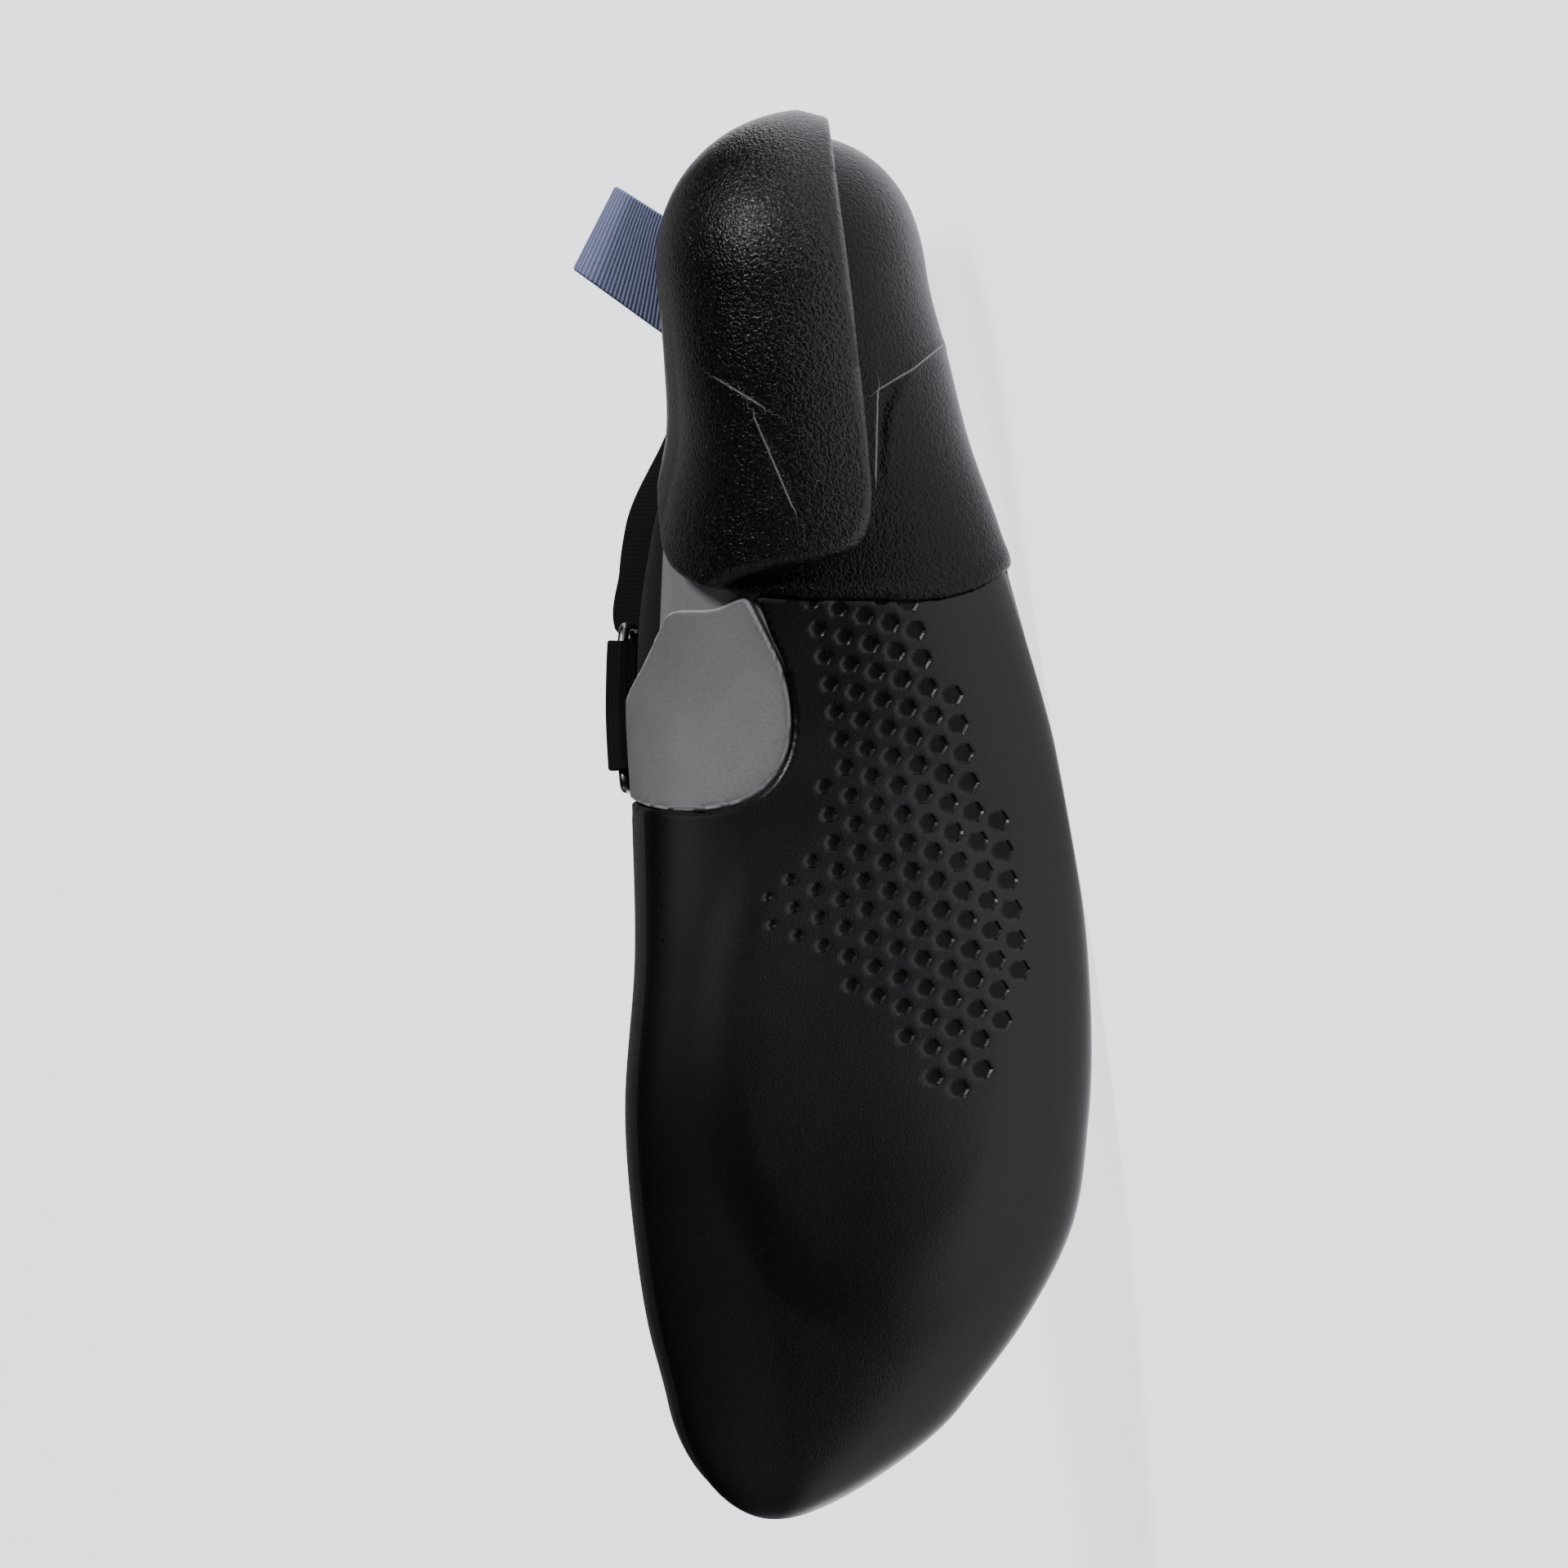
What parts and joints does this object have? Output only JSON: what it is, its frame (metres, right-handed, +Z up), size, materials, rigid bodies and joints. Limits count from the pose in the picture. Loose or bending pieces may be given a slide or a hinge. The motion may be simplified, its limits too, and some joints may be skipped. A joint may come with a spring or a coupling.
{
  "type": "climbing shoe",
  "caption": "Right climbing shoe with rubber half sole, moulded heel cup, hook-and-loop strap through a ring and a heel pull loop, lying empty on its outer side.",
  "frame": {"origin": "on the floor, under the middle of the lying shoe's box", "axes": "+Z up from the floor towards the inner side of the foot, +X from toe to heel, +Y from sole to instep"},
  "size_m": [0.2464, 0.1112, 0.0858],
  "materials": {
    "grey_microfibre": "matt microfibre",
    "sole_rubber": "smooth satin rubber",
    "moulded_rubber": "grained moulded rubber",
    "rand_rubber": "satin rubber",
    "grey_suede": "napped suede",
    "black_mesh": "padded mesh",
    "insole_board": "matt board",
    "black_knit": "ribbed knit",
    "black_webbing": "woven webbing",
    "ring_steel": "bright wire",
    "blue_webbing": "ribbed webbing"
  },
  "bodies": {
    "root": {"upper": "grey_microfibre", "outsole": "sole_rubber", "heel_cup": "moulded_rubber", "toe_rand": "rand_rubber", "arch_panel": "grey_suede", "tongue": "black_mesh", "insole": "insole_board", "collar": "black_knit", "strap": "black_webbing", "strap_tab": "black_webbing", "ring": "ring_steel", "pull_loop": "blue_webbing"}
  },
  "joints": []
}
